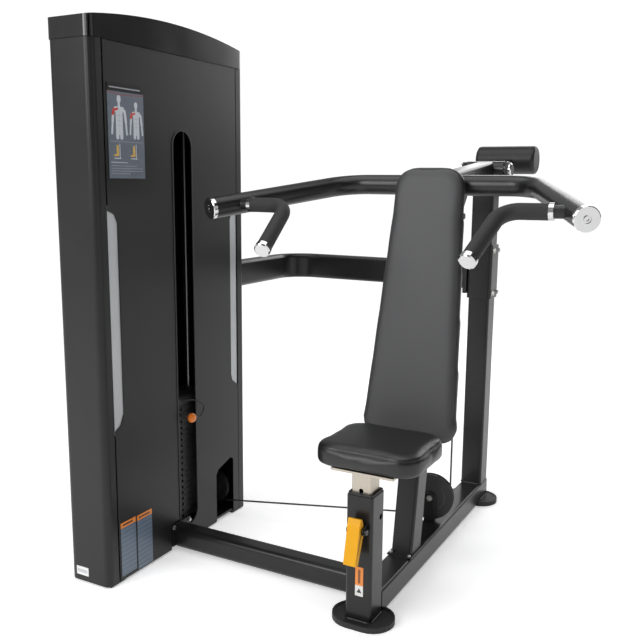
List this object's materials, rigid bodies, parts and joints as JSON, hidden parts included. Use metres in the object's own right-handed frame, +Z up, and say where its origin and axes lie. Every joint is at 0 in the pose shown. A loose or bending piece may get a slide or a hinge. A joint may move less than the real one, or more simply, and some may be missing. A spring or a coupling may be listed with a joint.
{
  "type": "shoulder press machine",
  "caption": "Seated shoulder press machine with an adjustable seat, a leaning backrest, a pivoting press arm and a cable-driven weight stack in a side tower.",
  "frame": {"origin": "on the floor under the rear upright, in the centre plane of the seat", "axes": "+Z up; the user sits facing -Y, away from the rear upright; the weight tower stands on the -X side"},
  "size_m": [1.3967, 1.493, 1.618],
  "materials": {
    "black_paint": "satin black powder coat",
    "panel": "satin dark graphite",
    "gloss_cap": "gloss black",
    "inlay": "silver grey, half gloss",
    "black_plastic": "matte",
    "rubber": "matte rubber",
    "grip_rubber": "fine textured rubber",
    "steel": "brushed",
    "bolt_steel": "zinc plated",
    "chrome": "polished",
    "plate_steel": "black painted",
    "counterweight": "satin black painted",
    "placard": "printed sheet",
    "label": "printed sheet",
    "orange_knob": "gloss orange",
    "yellow_lever": "half gloss yellow",
    "cord_dark": "woven sheath",
    "pulley": "half gloss nylon",
    "cable": "plastic coated wire rope",
    "vinyl": "fine grained vinyl"
  },
  "bodies": {
    "frame": {"front_post": "black_paint", "slider_bush": "black_plastic", "base_rail": "black_paint", "cross_member": "black_paint", "cross_flange": "black_paint", "rear_upright": "black_paint", "pivot_yoke": "black_paint", "pivot_shaft": "steel", "pivot_caps": "chrome", "front_foot": "rubber", "rear_foot": "rubber", "backrest_post": "black_paint", "upper_brace": "black_paint", "brace_clamp": "black_paint", "frame_bolts": "bolt_steel", "tower_feet": "rubber", "tower_base": "black_paint", "tower_posts": "black_paint", "tower_front_cover": "panel", "tower_rear_cover": "panel", "seat_side_panel": "panel", "outer_panel": "panel", "slot_trim": "bolt_steel", "side_inlays": "inlay", "tower_cap": "gloss_cap", "top_frame": "black_paint", "guide_rods": "chrome", "stack_bumpers": "rubber", "plates_resting": "plate_steel", "placard": "placard", "labels": "label", "pulley_brackets": "black_paint", "pulley_axles": "bolt_steel", "cable_main": "cable", "cable_lift": "cable", "cable_drop": "cable", "backrest_pad": "vinyl", "lever_bracket": "black_paint"},
    "press_arm": {"arm_hub": "black_paint", "arm_tube": "black_paint", "handle_bar": "black_paint", "handle_caps": "chrome", "grip_tubes": "black_paint", "grip_sleeves": "grip_rubber", "lug_plate": "black_paint", "counterweight": "counterweight"},
    "stack": {"head_plate": "plate_steel", "plates_picked": "plate_steel", "stack_stem": "steel", "lanyard": "cord_dark"},
    "selector_pin": {"selector_pin": "steel", "pin_knob": "orange_knob"},
    "seat": {"seat_slider": "steel", "seat_pad": "vinyl"},
    "seat_lever": {"seat_lever": "yellow_lever"},
    "lock_pin": {"lock_pin": "steel"},
    "seat_pulley": {"seat_pulley": "pulley"},
    "tower_pulley": {"tower_pulley": "pulley"},
    "top_pulley_rear": {"top_pulley_rear": "pulley"},
    "top_pulley_front": {"top_pulley_front": "pulley"}
  },
  "joints": [
    {"name": "arm_swing", "type": "hinge", "parent": "frame", "child": "press_arm", "pos_m": [0, -0.01, 1.214], "axis": [-1, 0, 0], "range_deg": [0, 42], "deforming": ["cable_lift"]},
    {"name": "stack_lift", "type": "slide", "parent": "frame", "child": "stack", "axis": [0, 0, 1], "range_m": [0, 0.295], "deforming": ["cable_drop"]},
    {"name": "seat_pulley_spin", "type": "hinge", "parent": "frame", "child": "seat_pulley", "pos_m": [-0.0147, -0.425, 0.158], "axis": [0.2052, -0.9787, 0], "range_deg": [0, 281]},
    {"name": "tower_pulley_spin", "type": "hinge", "parent": "frame", "child": "tower_pulley", "pos_m": [-0.778, -0.585, 0.101], "axis": [0.2052, -0.9787, 0], "range_deg": [0, 337]},
    {"name": "top_pulley_rear_spin", "type": "hinge", "parent": "frame", "child": "top_pulley_rear", "pos_m": [-0.8176, -0.6362, 1.44], "axis": [-0.975, -0.2221, 0], "range_deg": [0, 401]},
    {"name": "top_pulley_front_spin", "type": "hinge", "parent": "frame", "child": "top_pulley_front", "pos_m": [-0.7873, -0.7691, 1.44], "axis": [-0.975, -0.2221, 0], "range_deg": [0, 401]},
    {"name": "selector_pin_pull", "type": "slide", "parent": "stack", "child": "selector_pin", "axis": [1, 0, 0], "range_m": [0, 0.07]},
    {"name": "seat_height", "type": "slide", "parent": "frame", "child": "seat", "axis": [0, 0, 1], "range_m": [0, 0.1]},
    {"name": "seat_lever_turn", "type": "hinge", "parent": "frame", "child": "seat_lever", "pos_m": [0, -1.021, 0.277], "axis": [-1, 0, 0], "range_deg": [0, 25], "stiffness_Nm_per_rad": 3, "springref_deg": -8.59},
    {"name": "lock_pin_draw", "type": "slide", "parent": "frame", "child": "lock_pin", "axis": [0, -1, 0], "range_m": [0, 0.012]}
  ],
  "couplings": [
    {"joint": "stack_lift", "follows": "arm_swing", "m_per_rad": 0.4008},
    {"joint": "seat_pulley_spin", "follows": "arm_swing", "ratio": 6.68},
    {"joint": "tower_pulley_spin", "follows": "arm_swing", "ratio": 8.016},
    {"joint": "top_pulley_rear_spin", "follows": "arm_swing", "ratio": 9.5429},
    {"joint": "top_pulley_front_spin", "follows": "arm_swing", "ratio": 9.5429},
    {"joint": "lock_pin_draw", "follows": "seat_lever_turn", "m_per_rad": 0.027}
  ]
}
